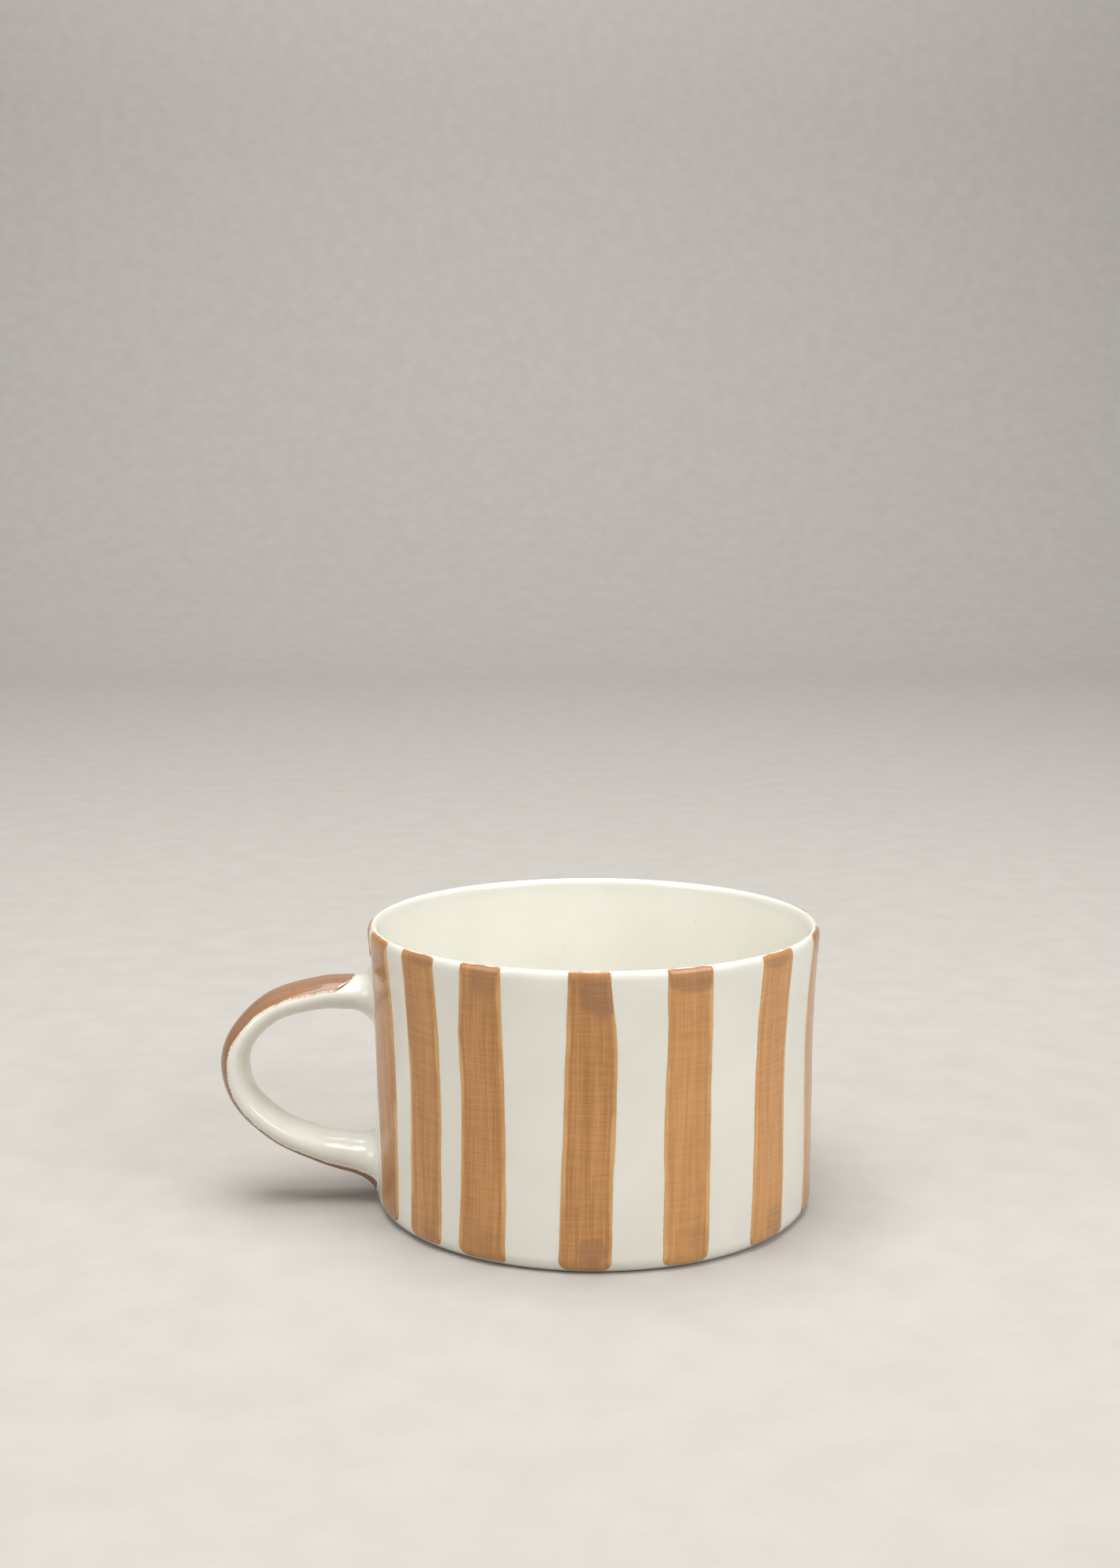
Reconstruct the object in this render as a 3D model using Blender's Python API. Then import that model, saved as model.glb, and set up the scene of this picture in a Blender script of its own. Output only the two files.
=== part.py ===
"""A wide, low ceramic mug with a loop handle and brushed slip stripes.

Frame: the origin is the centre of the flat foot, +Z is up and the handle reaches towards -X.
Units are metres. Turns round the cup are in degrees from the handle, counter-clockwise from above,
so the front (-Y) is at 90 and the side away from the handle (+X) is at 180.
"""

import math

import bmesh
import bpy
from mathutils import Vector
from mathutils.geometry import interpolate_bezier

# Cup: one cast wall with its floor.
CUP_HEIGHT = 0.0696
RIM_RADIUS = 0.0550
WALL_RADIUS = 0.0538
WALL_THICKNESS = 0.0032
LIP_THICKNESS = 0.0022
LIP_ROUND_HEIGHT = 0.0022
FLARE_START = 0.0380
FLOOR_THICKNESS = 0.0045
FOOT_ROUND_HEIGHT = 0.0036
FOOT_ROUND_INSET = 0.0028
INNER_CORNER_RADIUS = 0.0070
CUP_SEGMENTS = 72
RIM_STEPS = 4
CORNER_STEPS = 5
FLARE_STEPS = 4

# Every touching pair of pieces keeps this gap.
SEAM_GAP = 0.0003

# Stripes: coats of thick slip on the wall.
SLIP_THICKNESS = 0.00035
STRIPE_WIDTH = 0.0116
STRIPE_LOW = 0.0018
STRIPE_HIGH = CUP_HEIGHT - 0.0010
STRIPE_CORNER = 0.0026
STRIPE_COLUMNS = 4
STRIPE_END_STEPS = 4

# Turn of each front stripe at its upper and lower end; the brush leans a little from one to the next.
FRONT_STRIPE_TURNS = (
    (18.5, 22.0),
    (39.0, 40.2),
    (58.6, 58.2),
    (85.2, 84.3),
    (109.3, 109.0),
    (136.2, 134.7),
    (163.5, 159.5),
)
# The stripes behind are spaced evenly between these two turns.
FIRST_BACK_TURN = 195.0
LAST_BACK_TURN = 338.0
BACK_STRIPES = 7

# The short stripe sits between the rim and the handle's upper root.
SHORT_STRIPE_TURN = 0.5
SHORT_STRIPE_LOW = 0.0618

# Handle: a loop in the X-Z plane. Each point is (reach from the cup's axis, height).
HANDLE_PATH = (
    (0.0595, 0.0522),
    (0.0670, 0.0520),
    (0.0783, 0.0489),
    (0.0858, 0.0419),
    (0.0880, 0.0345),
    (0.0853, 0.0258),
    (0.0772, 0.0182),
    (0.0675, 0.0138),
    (0.0610, 0.0120),
)
HANDLE_STEPS_PER_SPAN = 4
HANDLE_SIDES = 24
HANDLE_HALF_WIDTH = 0.0070
HANDLE_HALF_THICKNESS_TOP = 0.0040
HANDLE_HALF_THICKNESS_MIDDLE = 0.0033
HANDLE_HALF_THICKNESS_FOOT = 0.0045

# The stripe along the handle's back wraps this far to each side of its crown.
HANDLE_STRIPE_WRAP = math.radians(68)
HANDLE_STRIPE_COLUMNS = 8

# Slip joints: each collar's centre height on the wall, and how far it flares there.
JOINT_RINGS = 7
JOINT_ARC_SHARE = 0.95
JOINT_BURIED = 0.0030
UPPER_JOINT_WALL_HEIGHT = 0.0515
UPPER_JOINT_FLARE_UP = 0.0045
UPPER_JOINT_FLARE_DOWN = 0.0045
UPPER_JOINT_FLARE_SIDE = 0.0030
LOWER_JOINT_WALL_HEIGHT = 0.0106
LOWER_JOINT_FLARE_UP = 0.0036
LOWER_JOINT_FLARE_DOWN = 0.0046
LOWER_JOINT_FLARE_SIDE = 0.0030

SMOOTH_ANGLE = math.radians(40)


def clear_scene():
    """Remove every object that the startup file holds."""
    for item in list(bpy.data.objects):
        bpy.data.objects.remove(item, do_unlink=True)


def glaze(name, colour, roughness):
    """A glossy ceramic finish in one colour."""
    material = bpy.data.materials.new(name)
    material.use_nodes = True
    shader = material.node_tree.nodes["Principled BSDF"]
    shader.inputs["Base Color"].default_value = (*colour, 1.0)
    shader.inputs["Roughness"].default_value = roughness
    shader.inputs["Metallic"].default_value = 0.0
    return material


def cream_glaze(name):
    """Clear glaze over cream clay."""
    return glaze(name, (0.74, 0.72, 0.63), 0.18)


def brown_slip(name):
    """Clear glaze over brown slip."""
    return glaze(name, (0.50, 0.26, 0.11), 0.20)


def add_object(name, mesh, material):
    """Place a mesh in the scene as a smooth-shaded object with its own material."""
    item = bpy.data.objects.new(name, mesh)
    bpy.context.scene.collection.objects.link(item)
    mesh.materials.append(material)
    mesh.shade_smooth()
    mesh.set_sharp_from_angle(angle=SMOOTH_ANGLE)
    return item


def ellipse_arc(centre, radii, start, end, steps):
    """Points (radius, height) along an elliptical arc, both ends included."""
    points = []
    for step in range(steps + 1):
        angle = start + (end - start) * step / steps
        points.append((centre[0] + radii[0] * math.cos(angle), centre[1] + radii[1] * math.sin(angle)))
    return points


def rim_centre():
    """Centre (radius, height) of the round lip."""
    return RIM_RADIUS - LIP_THICKNESS / 2, CUP_HEIGHT - LIP_ROUND_HEIGHT


def flare_share(height):
    """How far the wall has opened out at a height: 0 up to the flare's start and 1 at the lip."""
    run = rim_centre()[1] - FLARE_START
    return max(0.0, height - FLARE_START) ** 2 / run**2


def wall_radius(height):
    """The wall's outer radius: upright, then opening out towards the lip."""
    return WALL_RADIUS + (RIM_RADIUS - WALL_RADIUS) * flare_share(height)


def wall_thickness(height):
    """The wall's thickness, which thins out towards the lip."""
    return WALL_THICKNESS + (LIP_THICKNESS - WALL_THICKNESS) * flare_share(height)


def flare_heights():
    """Heights of the rings from the flare's start up to the lip, both ends included."""
    run = rim_centre()[1] - FLARE_START
    return [FLARE_START + run * step / FLARE_STEPS for step in range(FLARE_STEPS + 1)]


def outer_profile(grown_by=0.0):
    """The outer side from the lip's crown down to the foot's flat, grown outwards by a margin."""
    lip_radii = (LIP_THICKNESS / 2 + grown_by, LIP_ROUND_HEIGHT + grown_by)
    foot_centre = (WALL_RADIUS - FOOT_ROUND_INSET, FOOT_ROUND_HEIGHT)
    foot_radii = (FOOT_ROUND_INSET + grown_by, FOOT_ROUND_HEIGHT + grown_by)
    lip = ellipse_arc(rim_centre(), lip_radii, math.pi / 2, 0.0, RIM_STEPS)
    flare = [(wall_radius(height) + grown_by, height) for height in reversed(flare_heights()[:-1])]
    foot = ellipse_arc(foot_centre, foot_radii, 0.0, -math.pi / 2, CORNER_STEPS)
    return lip + flare + foot


def inner_profile():
    """The inner side from the floor's centre up to just short of the lip's crown."""
    lip_radii = (LIP_THICKNESS / 2, LIP_ROUND_HEIGHT)
    corner_centre = (
        WALL_RADIUS - WALL_THICKNESS - INNER_CORNER_RADIUS,
        FLOOR_THICKNESS + INNER_CORNER_RADIUS,
    )
    corner_radii = (INNER_CORNER_RADIUS, INNER_CORNER_RADIUS)
    corner = ellipse_arc(corner_centre, corner_radii, -math.pi / 2, 0.0, CORNER_STEPS)
    flare = [(wall_radius(height) - wall_thickness(height), height) for height in flare_heights()[:-1]]
    lip = ellipse_arc(rim_centre(), lip_radii, math.pi, math.pi / 2, RIM_STEPS)
    return [(0.0, FLOOR_THICKNESS)] + corner + flare + lip[:-1]


def turned_mesh(name, profile):
    """An open chain of edges in the X-Z plane, ready to be turned about Z."""
    mesh = bpy.data.meshes.new(name)
    points = [(radius, 0.0, height) for radius, height in profile]
    edges = [(index, index + 1) for index in range(len(points) - 1)]
    mesh.from_pydata(points, edges, [])
    return mesh


def turn_about_z(item):
    """Turn an object's profile into a closed body of revolution."""
    screw = item.modifiers.new("Turn", "SCREW")
    screw.steps = CUP_SEGMENTS
    screw.render_steps = CUP_SEGMENTS
    screw.use_merge_vertices = True
    screw.merge_threshold = 0.00001
    screw.use_smooth_shade = True


def make_cup_body():
    """The cast cup: floor, rounded foot, a wall that opens out near the top, and a thin round lip."""
    profile = inner_profile() + outer_profile() + [(0.0, 0.0)]
    cup = add_object("cup_body", turned_mesh("cup_body", profile), cream_glaze("cup_glaze"))
    turn_about_z(cup)
    return cup


def make_wall_cutter():
    """A solid plug of the cup's outer shape plus the seam gap, which trims the slip joints."""
    profile = outer_profile(SEAM_GAP)
    profile = [(0.0, profile[0][1])] + profile + [(0.0, profile[-1][1])]
    mesh = turned_mesh("wall_cutter", profile)
    cutter = bpy.data.objects.new("wall_cutter", mesh)
    bpy.context.scene.collection.objects.link(cutter)
    turn_about_z(cutter)
    cutter.hide_render = True
    cutter.display_type = "WIRE"
    return cutter


def wall_point(turn, height, offset):
    """A point over the outer surface at a turn and height, lifted off along the surface's normal."""
    lip_radius, lip_height = rim_centre()
    half = LIP_THICKNESS / 2
    if height > lip_height:
        angle = math.asin((height - lip_height) / LIP_ROUND_HEIGHT)
        normal = Vector((math.cos(angle) * LIP_ROUND_HEIGHT, math.sin(angle) * half)).normalized()
        radius = lip_radius + half * math.cos(angle) + offset * normal.x
        height = height + offset * normal.y
    elif height < FOOT_ROUND_HEIGHT:
        angle = math.asin((FOOT_ROUND_HEIGHT - height) / FOOT_ROUND_HEIGHT)
        normal = Vector((math.cos(angle) * FOOT_ROUND_HEIGHT, -math.sin(angle) * FOOT_ROUND_INSET))
        normal.normalize()
        radius = WALL_RADIUS - FOOT_ROUND_INSET * (1.0 - math.cos(angle)) + offset * normal.x
        height = height + offset * normal.y
    else:
        radius = wall_radius(height) + offset
    angle = math.radians(turn)
    return Vector((-radius * math.cos(angle), -radius * math.sin(angle), height))


def rounded_rows(low, high):
    """Rows (height, how much is trimmed off the half-width) of a strip with four rounded corners."""
    ends = []
    for step in range(STRIPE_END_STEPS + 1):
        angle = math.pi / 2 * step / STRIPE_END_STEPS
        ends.append((STRIPE_CORNER * (1.0 - math.cos(angle)), STRIPE_CORNER * (1.0 - math.sin(angle))))
    rows = [(low + rise, trim) for rise, trim in ends]
    for height in flare_heights():
        if low + STRIPE_CORNER < height < high - STRIPE_CORNER:
            rows.append((height, 0.0))
    return rows + [(high - rise, trim) for rise, trim in reversed(ends)]


def grid_mesh(name, rows):
    """A mesh of quads over a grid of points, given row by row."""
    work = bmesh.new()
    grid = [[work.verts.new(point) for point in row] for row in rows]
    for lower, upper in zip(grid, grid[1:]):
        for column in range(len(lower) - 1):
            work.faces.new((lower[column], lower[column + 1], upper[column + 1], upper[column]))
    mesh = bpy.data.meshes.new(name)
    work.to_mesh(mesh)
    work.free()
    return mesh


def add_slip_thickness(item):
    """Thicken a coat's inner face outwards."""
    solidify = item.modifiers.new("Slip thickness", "SOLIDIFY")
    solidify.thickness = SLIP_THICKNESS
    solidify.offset = 1.0
    solidify.use_even_offset = True


def make_wall_stripe(name, upper_turn, lower_turn, low=STRIPE_LOW):
    """One brushed stripe on the wall, with rounded ends, leaning from its lower to its upper turn."""
    rows = []
    for height, trim in rounded_rows(low, STRIPE_HIGH):
        share = (height - low) / (STRIPE_HIGH - low)
        centre = lower_turn + (upper_turn - lower_turn) * share
        half_turn = math.degrees((STRIPE_WIDTH / 2 - trim) / RIM_RADIUS)
        row = []
        for column in range(STRIPE_COLUMNS + 1):
            across = 2.0 * column / STRIPE_COLUMNS - 1.0
            row.append(wall_point(centre + across * half_turn, height, SEAM_GAP))
        rows.append(row)
    stripe = add_object(name, grid_mesh(name, rows), brown_slip(name + "_slip"))
    add_slip_thickness(stripe)
    return stripe


def make_wall_stripes():
    """The front stripes, the evenly spaced back stripes and the short one over the handle."""
    back_pitch = (LAST_BACK_TURN - FIRST_BACK_TURN) / (BACK_STRIPES - 1)
    turns = list(FRONT_STRIPE_TURNS)
    for index in range(BACK_STRIPES):
        turn = FIRST_BACK_TURN + index * back_pitch
        turns.append((turn, turn))
    for index, (upper_turn, lower_turn) in enumerate(turns):
        make_wall_stripe(f"wall_stripe_{index + 1:02d}", upper_turn, lower_turn)
    make_wall_stripe("short_stripe", SHORT_STRIPE_TURN, SHORT_STRIPE_TURN, SHORT_STRIPE_LOW)


def handle_stations():
    """Centre and forward direction of each ring along the handle, from the upper end to the lower."""
    points = [Vector((-reach, 0.0, height)) for reach, height in HANDLE_PATH]
    slopes = [points[1] - points[0]]
    slopes += [(after - before) / 2.0 for before, after in zip(points, points[2:])]
    slopes += [points[-1] - points[-2]]
    centres = [points[0]]
    for index in range(len(points) - 1):
        start, end = points[index], points[index + 1]
        span = interpolate_bezier(
            start, start + slopes[index] / 3, end - slopes[index + 1] / 3, end, HANDLE_STEPS_PER_SPAN + 1
        )
        centres += span[1:]
    ahead = [after - before for before, after in zip(centres, centres[1:])]
    directions = [ahead[0]]
    directions += [first.normalized() + second.normalized() for first, second in zip(ahead, ahead[1:])]
    directions += [ahead[-1]]
    return [(centre, direction.normalized()) for centre, direction in zip(centres, directions)]


def handle_half_thickness(share):
    """Half the handle's thickness, thinnest at the middle of the loop, at a share of its length."""
    end = HANDLE_HALF_THICKNESS_TOP if share < 0.5 else HANDLE_HALF_THICKNESS_FOOT
    nearness_to_end = abs(2 * share - 1)
    return HANDLE_HALF_THICKNESS_MIDDLE + (end - HANDLE_HALF_THICKNESS_MIDDLE) * nearness_to_end


def outward_of(direction):
    """The loop's outward normal for a direction of travel in the X-Z plane."""
    return Vector((0.0, 1.0, 0.0)).cross(direction)


def section_point(centre, outward, half_thickness, angle, lift=0.0):
    """A point on the handle's elliptical section; angle 0 is the crown of the handle's back."""
    normal = Vector((math.cos(angle) / half_thickness, math.sin(angle) / HANDLE_HALF_WIDTH))
    normal.normalize()
    across = HANDLE_HALF_WIDTH * math.sin(angle) + lift * normal.y
    away = half_thickness * math.cos(angle) + lift * normal.x
    return centre + outward * away + Vector((0.0, across, 0.0))


def loft_mesh(name, rings):
    """A closed body through rings of points, capped flat at both ends."""
    work = bmesh.new()
    loops = [[work.verts.new(point) for point in ring] for ring in rings]
    count = len(loops[0])
    for first, second in zip(loops, loops[1:]):
        for index in range(count):
            after = (index + 1) % count
            work.faces.new((first[index], first[after], second[after], second[index]))
    work.faces.new(loops[0])
    work.faces.new(loops[-1])
    bmesh.ops.recalc_face_normals(work, faces=work.faces[:])
    mesh = bpy.data.meshes.new(name)
    work.to_mesh(mesh)
    work.free()
    return mesh


def make_handle():
    """The loop handle, an elliptical strap swept along its path."""
    stations = handle_stations()
    rings = []
    for index, (centre, direction) in enumerate(stations):
        half_thickness = handle_half_thickness(index / (len(stations) - 1))
        outward = outward_of(direction)
        ring = []
        for side in range(HANDLE_SIDES):
            angle = 2 * math.pi * side / HANDLE_SIDES
            ring.append(section_point(centre, outward, half_thickness, angle))
        rings.append(ring)
    return add_object("handle", loft_mesh("handle", rings), cream_glaze("handle_glaze"))


def make_handle_stripe():
    """The slip coat along the handle's back."""
    stations = handle_stations()
    rows = []
    for index, (centre, direction) in enumerate(stations):
        half_thickness = handle_half_thickness(index / (len(stations) - 1))
        outward = outward_of(direction)
        row = []
        for column in range(HANDLE_STRIPE_COLUMNS + 1):
            angle = HANDLE_STRIPE_WRAP * (2.0 * column / HANDLE_STRIPE_COLUMNS - 1.0)
            row.append(section_point(centre, outward, half_thickness, angle, SEAM_GAP))
        rows.append(row)
    stripe = add_object("handle_stripe", grid_mesh("handle_stripe", rows), brown_slip("handle_stripe_slip"))
    add_slip_thickness(stripe)
    return stripe


def quarter_round(share):
    """Height of a quarter-round fillet at a share of its run, which stops short of the full quarter."""
    return 1.0 - math.sqrt(1.0 - (JOINT_ARC_SHARE * share) ** 2)


def make_slip_joint(name, end, half_thickness, wall_height, flares, cutter):
    """A collar from one end of the handle to the wall, flaring up, down and sideways as it goes.

    end is the handle's end as (centre, direction towards the wall); flares is (up, down, side).
    """
    flare_up, flare_down, flare_side = flares
    centre, direction = end
    start = centre + direction * SEAM_GAP
    wall = Vector((-RIM_RADIUS, 0.0, wall_height))
    full_flare = quarter_round(1.0)
    rings = []
    for ring_index in range(JOINT_RINGS + 1):
        share = ring_index / JOINT_RINGS
        flare = quarter_round(share) / full_flare
        middle = start.lerp(wall, share)
        heading = direction.lerp(Vector((1.0, 0.0, 0.0)), share).normalized()
        upright = heading.cross(Vector((0.0, 1.0, 0.0)))
        upright = upright if upright.z > 0 else -upright
        ring = []
        for side in range(HANDLE_SIDES):
            angle = 2 * math.pi * side / HANDLE_SIDES
            flare_here = flare_up if math.cos(angle) > 0 else flare_down
            rise = (half_thickness + flare * flare_here) * math.cos(angle)
            across = (HANDLE_HALF_WIDTH + flare * flare_side) * math.sin(angle)
            ring.append(middle + upright * rise + Vector((0.0, across, 0.0)))
        rings.append(ring)
    buried = Vector((JOINT_BURIED, 0.0, 0.0))
    rings.append([point + buried for point in rings[-1]])
    joint = add_object(name, loft_mesh(name, rings), cream_glaze(name + "_glaze"))
    trim = joint.modifiers.new("Trim to wall", "BOOLEAN")
    trim.operation = "DIFFERENCE"
    trim.solver = "EXACT"
    trim.object = cutter
    return joint


def make_slip_joints(cutter):
    """The collars that lute both ends of the handle to the cup."""
    stations = handle_stations()
    upper_centre, upper_direction = stations[0]
    lower_centre, lower_direction = stations[-1]
    make_slip_joint(
        "upper_slip_joint",
        (upper_centre, -upper_direction),
        HANDLE_HALF_THICKNESS_TOP,
        UPPER_JOINT_WALL_HEIGHT,
        (UPPER_JOINT_FLARE_UP, UPPER_JOINT_FLARE_DOWN, UPPER_JOINT_FLARE_SIDE),
        cutter,
    )
    make_slip_joint(
        "lower_slip_joint",
        (lower_centre, lower_direction),
        HANDLE_HALF_THICKNESS_FOOT,
        LOWER_JOINT_WALL_HEIGHT,
        (LOWER_JOINT_FLARE_UP, LOWER_JOINT_FLARE_DOWN, LOWER_JOINT_FLARE_SIDE),
        cutter,
    )


def main():
    """Build the mug."""
    clear_scene()
    make_cup_body()
    make_wall_stripes()
    make_handle()
    make_handle_stripe()
    make_slip_joints(make_wall_cutter())


main()
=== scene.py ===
"""Looks for a wide, low ceramic mug with brushed slip stripes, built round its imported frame.

Everything is in metres in the frame's own axes: the origin is the centre of the foot, +Z is up and
the handle reaches towards -X. Turns round the cup are in degrees from the handle, counter-clockwise
from above, so the front (-Y) is at 90. Sizes along and across a stripe are in millimetres.
"""

from __future__ import annotations

import logging
import math
import random
from contextlib import contextmanager
from dataclasses import dataclass, field
from enum import Enum
from typing import Any, Iterator, Sequence

import bmesh
import bpy
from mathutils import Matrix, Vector
from mathutils.geometry import interpolate_bezier


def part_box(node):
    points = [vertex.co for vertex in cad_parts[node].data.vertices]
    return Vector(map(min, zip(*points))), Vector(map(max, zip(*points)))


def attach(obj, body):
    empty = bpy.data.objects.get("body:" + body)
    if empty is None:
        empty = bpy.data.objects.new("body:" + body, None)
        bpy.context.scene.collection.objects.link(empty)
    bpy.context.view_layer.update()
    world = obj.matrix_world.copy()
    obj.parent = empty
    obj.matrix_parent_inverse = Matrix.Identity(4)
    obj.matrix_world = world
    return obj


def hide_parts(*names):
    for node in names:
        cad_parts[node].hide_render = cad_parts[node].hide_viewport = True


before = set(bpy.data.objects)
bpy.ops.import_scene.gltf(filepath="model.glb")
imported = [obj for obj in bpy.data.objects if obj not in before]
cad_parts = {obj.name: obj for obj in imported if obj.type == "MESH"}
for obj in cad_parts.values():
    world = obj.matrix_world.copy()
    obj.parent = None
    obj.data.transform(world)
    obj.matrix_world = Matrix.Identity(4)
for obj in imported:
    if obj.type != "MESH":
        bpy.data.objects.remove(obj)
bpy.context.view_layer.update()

MM = 0.001
FULL_TURN = 2.0 * math.pi
BODY = "root"

Pair = tuple[float, float]
Triple = tuple[float, float, float]
Colour = tuple[float, float, float, float]
Spot = tuple[Vector, Triple, float, float]
Socket = bpy.types.NodeSocket
log = logging.getLogger("mug")


class Slot(Enum):
    """The record's material slots."""

    CREAM = "cream_glaze"
    BROWN = "brown_slip"


# ---------------------------------------------------------------- small helpers


def mix(start: float, end: float, share: float) -> float:
    """The value at a share of the way from start to end."""
    return start + (end - start) * share


def smooth_step(low: float, high: float, value: float) -> float:
    """0 below low, 1 above high and an even curve between them."""
    share = min(1.0, max(0.0, (value - low) / (high - low)))
    return share * share * (3.0 - 2.0 * share)


def along_curve(values: Sequence[float], share: float) -> float:
    """A smooth curve through evenly spaced values.

    Args:
        values: The values from the curve's start to its end.
        share: The place along the curve, from 0 to 1.

    Returns:
        The curve's value there.
    """
    place = min(1.0, max(0.0, share)) * (len(values) - 1)
    index = min(int(place), len(values) - 2)
    before = values[max(index - 1, 0)]
    start, end = values[index], values[index + 1]
    after = values[min(index + 2, len(values) - 1)]
    t = place - index
    slope_in, slope_out = (end - before) / 2.0, (after - start) / 2.0
    return (
        (2 * t**3 - 3 * t**2 + 1) * start
        + (t**3 - 2 * t**2 + t) * slope_in
        + (3 * t**2 - 2 * t**3) * end
        + (t**3 - t**2) * slope_out
    )


def denser_ends(share: float, strength: float) -> float:
    """Move a share from 0 to 1 so that even steps crowd together at both ends."""
    return mix(share, 0.5 - 0.5 * math.cos(math.pi * share), strength)


@dataclass(frozen=True)
class Wander:
    """A slow, repeatable wavering of a hand-drawn edge.

    Attributes:
        seed: Which wavering this is.
        size: Its greatest departure, in the caller's unit.
        waves: Rough number of waves over the whole length.
    """

    seed: int
    size: float
    waves: float = 4.0

    def at(self, share: float) -> float:
        """The departure at a share of the length."""
        chance = random.Random(self.seed)
        total = 0.0
        for octave in range(4):
            phase = chance.uniform(0.0, FULL_TURN)
            rate = self.waves * (1.9**octave) * chance.uniform(0.8, 1.2)
            total += math.sin(FULL_TURN * rate * share + phase) / (1.7**octave)
        return self.size * total / 2.2


def choose(item: bpy.types.Object) -> None:
    """Select one object alone and make it the active one."""
    bpy.ops.object.select_all(action="DESELECT")
    item.select_set(True)
    bpy.context.view_layer.objects.active = item


@contextmanager
def editing(item: bpy.types.Object) -> Iterator[bpy.types.Mesh]:
    """Open a mesh object in edit mode with nothing selected, and close it afterwards."""
    choose(item)
    bpy.ops.object.mode_set(mode="EDIT")
    bpy.ops.mesh.select_mode(type="VERT")
    bpy.ops.mesh.select_all(action="DESELECT")
    yield item.data
    bpy.ops.object.mode_set(mode="OBJECT")


def named(name: str) -> bpy.types.Object:
    """Name the primitive that was just added, and its mesh."""
    item = bpy.context.active_object
    item.name = name
    item.data.name = name
    return item


def apply_modifiers(item: bpy.types.Object) -> None:
    """Apply every modifier of an object, in order."""
    choose(item)
    for modifier in list(item.modifiers):
        bpy.ops.object.modifier_apply(modifier=modifier.name)


def shade(item: bpy.types.Object, angle: float = 50.0) -> None:
    """Shade an object smooth, except where its faces meet more sharply than an angle in degrees."""
    choose(item)
    bpy.ops.object.shade_smooth_by_angle(angle=math.radians(angle))


def hand_over(item: bpy.types.Object, slot: Slot, *nodes: str) -> bpy.types.Object:
    """Make a finished piece ride on the mug and stand for its CAD nodes.

    Args:
        item: The finished piece.
        slot: The record's slot that its finish belongs to; it is not used.
        nodes: The CAD nodes that it replaces.

    Returns:
        The same piece.
    """
    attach(item, BODY)
    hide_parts(*nodes)
    log.info("%s: %d faces for %s", item.name, len(item.data.polygons), ", ".join(nodes))
    return item


# ---------------------------------------------------------------- finishes


class Graph:
    """A material's node tree, with short calls for the nodes that the finishes use."""

    def __init__(self, name: str) -> None:
        """Start a material of that name with a Principled shader."""
        self.material = bpy.data.materials.new(name)
        self.material.use_nodes = True
        self.tree = self.material.node_tree
        self.shader = self.tree.nodes["Principled BSDF"]

    def feed(self, socket: Socket, value: Any) -> None:
        """Link a socket to another socket, or set it to a plain value."""
        if isinstance(value, Socket):
            self.tree.links.new(value, socket)
        else:
            socket.default_value = value

    def add(self, kind: str, inputs: dict[Any, Any], **settings: Any) -> bpy.types.Node:
        """Add a node.

        Args:
            kind: The node's type name.
            inputs: What its inputs take, by name or number.
            settings: Its own properties.

        Returns:
            The new node.
        """
        node = self.tree.nodes.new(kind)
        for name, value in settings.items():
            setattr(node, name, value)
        for key, value in inputs.items():
            self.feed(node.inputs[key], value)
        return node

    def place(self) -> Socket:
        """Object coordinates, in metres."""
        return self.add("ShaderNodeTexCoord", {}).outputs["Object"]

    def attribute(self, name: str, output: str = "Fac") -> Socket:
        """A value that the mesh stores at each point."""
        return self.add("ShaderNodeAttribute", {}, attribute_name=name).outputs[output]

    def noise(
        self, place: Any, scale: float, detail: float = 2.0, roughness: float = 0.5
    ) -> Socket:
        """Cloudy noise from 0 to 1 at a place, with the given features per unit."""
        inputs = {"Vector": place, "Scale": scale, "Detail": detail, "Roughness": roughness}
        return self.add("ShaderNodeTexNoise", inputs).outputs[0]

    def stretched(self, place: Any, scale: Triple) -> Socket:
        """A place with each of its axes scaled on its own."""
        node = self.add("ShaderNodeVectorMath", {0: place, 1: scale}, operation="MULTIPLY")
        return node.outputs[0]

    def sum(self, first: Any, second: Any) -> Socket:
        """The sum of two values."""
        return self.add("ShaderNodeMath", {0: first, 1: second}, operation="ADD").outputs[0]

    def times(self, first: Any, second: Any) -> Socket:
        """The product of two values."""
        return self.add("ShaderNodeMath", {0: first, 1: second}, operation="MULTIPLY").outputs[0]

    def band(
        self, value: Any, low: float, high: float, start: float = 0.0, end: float = 1.0
    ) -> Socket:
        """A value that goes smoothly from start to end as another goes from low to high."""
        inputs = {"Value": value, "From Min": low, "From Max": high, "To Min": start, "To Max": end}
        node = self.add("ShaderNodeMapRange", inputs, interpolation_type="SMOOTHSTEP")
        return node.outputs[0]

    def spread(self, noise: Any, start: float, end: float, reach: float = 0.20) -> Socket:
        """Noise laid out from start to end, over what lies within a reach of its middle, 0.5."""
        return self.band(noise, 0.5 - reach, 0.5 + reach, start, end)

    def blend(self, factor: Any, first: Any, second: Any) -> Socket:
        """The first colour turning into the second as the factor goes from 0 to 1."""
        node = self.add("ShaderNodeMix", {}, data_type="RGBA")
        self.feed(node.inputs[0], factor)
        self.feed(node.inputs[6], first)
        self.feed(node.inputs[7], second)
        return node.outputs[2]

    def bump(self, height: Any, distance: float) -> Socket:
        """A shading normal from a height of 0 to 1 that stands for a real height in metres."""
        inputs = {"Height": height, "Distance": distance, "Strength": 1.0}
        return self.add("ShaderNodeBump", inputs).outputs[0]

    def set_shader(self, **values: Any) -> None:
        """Set or link the Principled shader's sockets; underscores stand for spaces."""
        for name, value in values.items():
            self.feed(self.shader.inputs[name.replace("_", " ")], value)


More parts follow.
